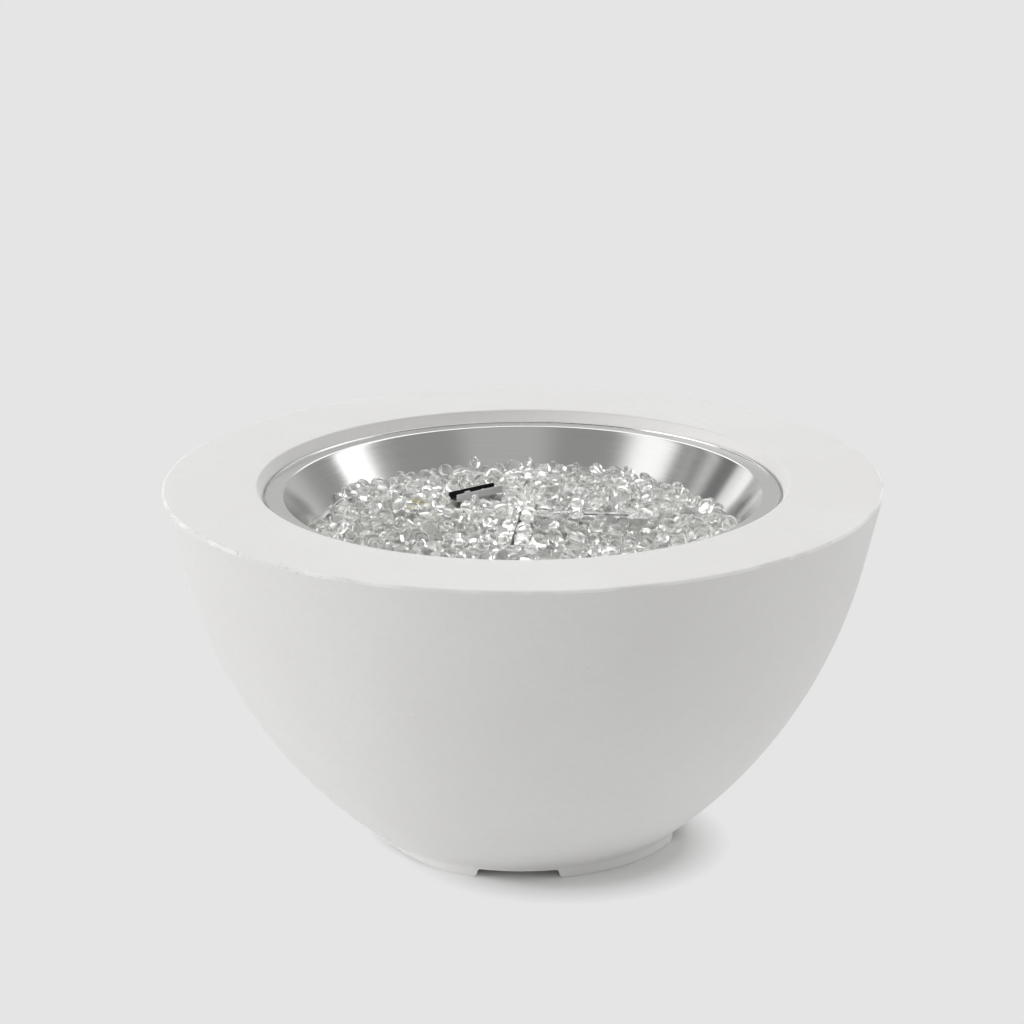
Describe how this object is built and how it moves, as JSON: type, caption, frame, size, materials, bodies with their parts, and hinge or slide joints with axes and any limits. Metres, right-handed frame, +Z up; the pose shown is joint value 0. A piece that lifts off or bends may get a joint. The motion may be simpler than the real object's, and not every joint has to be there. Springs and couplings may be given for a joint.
{
  "type": "gas fire pit bowl",
  "caption": "Round cast concrete fire bowl with a flat rim, a drop-in steel burner pan, a cross burner under clear glass gems, and a push-and-turn gas control at the back.",
  "frame": {"origin": "on the floor under the middle of the bowl", "axes": "+Z up along the bowl's axis, front at -Y, control panel at +Y"},
  "size_m": [1.0657, 1.0657, 0.54],
  "materials": {
    "concrete": "matte",
    "pan_steel": "satin",
    "burner_steel": "satin",
    "guard_steel": "satin",
    "fire_glass": "polished",
    "panel_steel": "satin",
    "screw_steel": "satin",
    "spring_steel": "satin",
    "line_steel": "satin",
    "brass": "satin",
    "copper": "satin",
    "valve_metal": "satin",
    "black_plastic": "matte",
    "gasket_fibre": "matte",
    "white_ceramic": "satin",
    "lead_silicone": "satin",
    "battery_case": "satin"
  },
  "bodies": {
    "bowl": {"concrete_bowl": "concrete", "control_panel": "panel_steel", "panel_screws": "screw_steel", "panel_inserts": "brass", "valve_body": "valve_metal", "valve_screws": "screw_steel", "inlet_fitting": "brass", "outlet_fitting": "brass", "igniter_body": "black_plastic", "igniter_nut": "black_plastic", "igniter_spring": "spring_steel", "igniter_terminals": "brass", "battery": "battery_case", "flex_gas_line": "line_steel", "flare_nuts": "brass", "ignition_lead": "lead_silicone", "lead_connector": "black_plastic", "thermocouple_lead": "copper", "thermocouple_nut": "brass"},
    "burner": {"burner_pan": "pan_steel", "fire_glass": "fire_glass", "burner_cross": "burner_steel", "burner_end_caps": "burner_steel", "riser_nipple": "burner_steel", "pan_gasket": "gasket_fibre", "burner_lock_nut": "brass", "mixer_body": "line_steel", "burner_inlet": "brass", "electrode_guard": "guard_steel", "electrode_bracket": "burner_steel", "bracket_screws": "screw_steel", "bracket_nuts": "screw_steel", "guard_rivets": "screw_steel", "electrode_insulator": "white_ceramic", "electrode_rod": "burner_steel", "thermocouple_probe": "copper"},
    "shutter": {"air_shutter": "line_steel", "shutter_screw": "screw_steel"},
    "valve_core": {"valve_plug": "brass", "stem_spring": "spring_steel"},
    "knob": {"control_knob": "black_plastic", "valve_stem": "screw_steel", "knob_set_screw": "spring_steel"},
    "button": {"igniter_button": "black_plastic"}
  },
  "joints": [
    {"name": "burner_lift", "type": "slide", "parent": "bowl", "child": "burner", "axis": [0, 0, 1], "range_m": [0, 0.25]},
    {"name": "shutter_turn", "type": "hinge", "parent": "burner", "child": "shutter", "pos_m": [0, 0, 0.374], "axis": [0, 0, 1], "range_deg": [0, 80]},
    {"name": "valve_turn", "type": "hinge", "parent": "bowl", "child": "valve_core", "pos_m": [0.034, 0.46285, 0.3], "axis": [0, 0.9122, -0.4098], "range_deg": [0, 180]},
    {"name": "knob_push", "type": "slide", "parent": "valve_core", "child": "knob", "axis": [0, -0.9122, 0.4098], "range_m": [0, 0.004], "stiffness_N_per_m": 900, "deforming": ["stem_spring"]},
    {"name": "igniter_press", "type": "slide", "parent": "bowl", "child": "button", "axis": [0, -0.9122, 0.4098], "range_m": [0, 0.0025], "stiffness_N_per_m": 1500, "deforming": ["igniter_spring"]}
  ]
}
